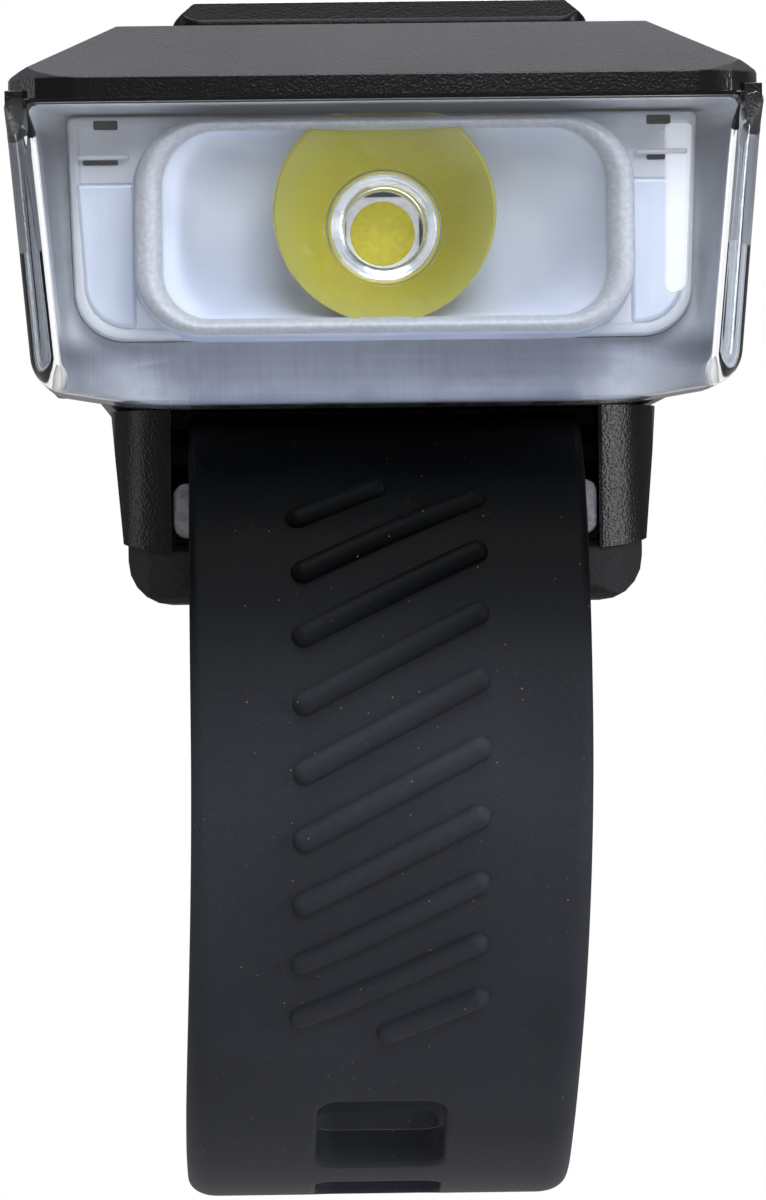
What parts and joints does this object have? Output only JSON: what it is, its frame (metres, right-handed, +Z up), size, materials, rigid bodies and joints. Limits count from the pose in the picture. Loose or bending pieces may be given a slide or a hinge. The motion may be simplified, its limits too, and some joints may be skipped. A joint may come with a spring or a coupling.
{
  "type": "bike headlight",
  "caption": "Compact rectangular bike headlight with a clear front lens, a top power button and a rubber-strap handlebar mount.",
  "frame": {"origin": "centre of the handlebar that the saddle sits on, in the middle of the saddle's width", "axes": "+X along the handlebar, -Y the way the beam points, +Z up from the handlebar to the lamp"},
  "size_m": [0.04, 0.0655, 0.0663],
  "materials": {
    "cover_plastic": "fine-grained warm dark grey",
    "pad_plastic": "satin black",
    "button_rubber": "matte dark grey",
    "clear_plastic": "clear polycarbonate",
    "seal_rubber": "matte black",
    "bezel_plastic": "blue-grey moulded",
    "frosted_plastic": "frosted diffuser",
    "silver_plastic": "metallised silver",
    "led_white": "white",
    "led_yellow": "yellow phosphor",
    "aluminium": "milled",
    "case_plastic": "satin black",
    "cell_foil": "foil pouch",
    "foam": "foam",
    "lead_red": "red insulation",
    "lead_white": "white",
    "circuit_board": "green solder mask",
    "chip_plastic": "black moulded",
    "indicator_green": "green indicator",
    "steel": "plated steel",
    "flap_rubber": "matte black",
    "base_plastic": "satin black",
    "saddle_rubber": "matte grey-black",
    "strap_silicone": "matte silicone"
  },
  "bodies": {
    "housing": {"top_cover": "cover_plastic", "top_pad": "pad_plastic", "indicator_window": "clear_plastic", "front_lens": "clear_plastic", "lens_seal": "seal_rubber", "inner_bezel": "bezel_plastic", "side_windows": "frosted_plastic", "reflector": "silver_plastic", "collimator": "clear_plastic", "led_package": "led_white", "led_phosphor": "led_yellow", "led_board": "led_white", "heat_sink": "aluminium", "lower_case": "case_plastic", "case_seal": "seal_rubber", "battery_cell": "cell_foil", "battery_pads": "foam", "battery_leads": "lead_red", "led_leads": "lead_white", "main_board": "circuit_board", "board_chips": "chip_plastic", "tact_switch": "chip_plastic", "status_led": "indicator_green", "usb_socket": "steel", "usb_tongue": "chip_plastic", "port_tether": "flap_rubber", "case_screws": "steel", "base": "base_plastic", "base_screws": "steel", "saddle_pad": "saddle_rubber", "strap_retainer": "base_plastic", "strap_pin": "steel", "strap_front": "strap_silicone"},
    "button": {"power_button": "button_rubber", "switch_stem": "lead_white"},
    "port_cover": {"port_cover": "flap_rubber"},
    "strap_middle": {"strap_middle": "strap_silicone"},
    "strap_tail": {"strap_tail": "strap_silicone"}
  },
  "joints": [
    {"name": "button_press", "type": "slide", "parent": "housing", "child": "button", "axis": [0, 0, -1], "range_m": [0, 0.0004], "stiffness_N_per_m": 500},
    {"name": "port_cover_open", "type": "hinge", "parent": "housing", "child": "port_cover", "pos_m": [-0.0077, 0.0326, 0.0318], "axis": [0, 0, 1], "range_deg": [0, 110]},
    {"name": "strap_bottom_flex", "type": "hinge", "parent": "housing", "child": "strap_middle", "pos_m": [0, -0.01104, -0.02287], "axis": [-1, 0, 0], "range_deg": [0, 45], "stiffness_Nm_per_rad": 0.05},
    {"name": "strap_tail_flex", "type": "hinge", "parent": "strap_middle", "child": "strap_tail", "pos_m": [0, 0.01923, -0.01378], "axis": [-1, 0, 0], "range_deg": [0, 70], "stiffness_Nm_per_rad": 0.05}
  ],
  "couplings": [
    {"joint": "strap_bottom_flex", "follows": "strap_tail_flex", "ratio": 0.6}
  ]
}
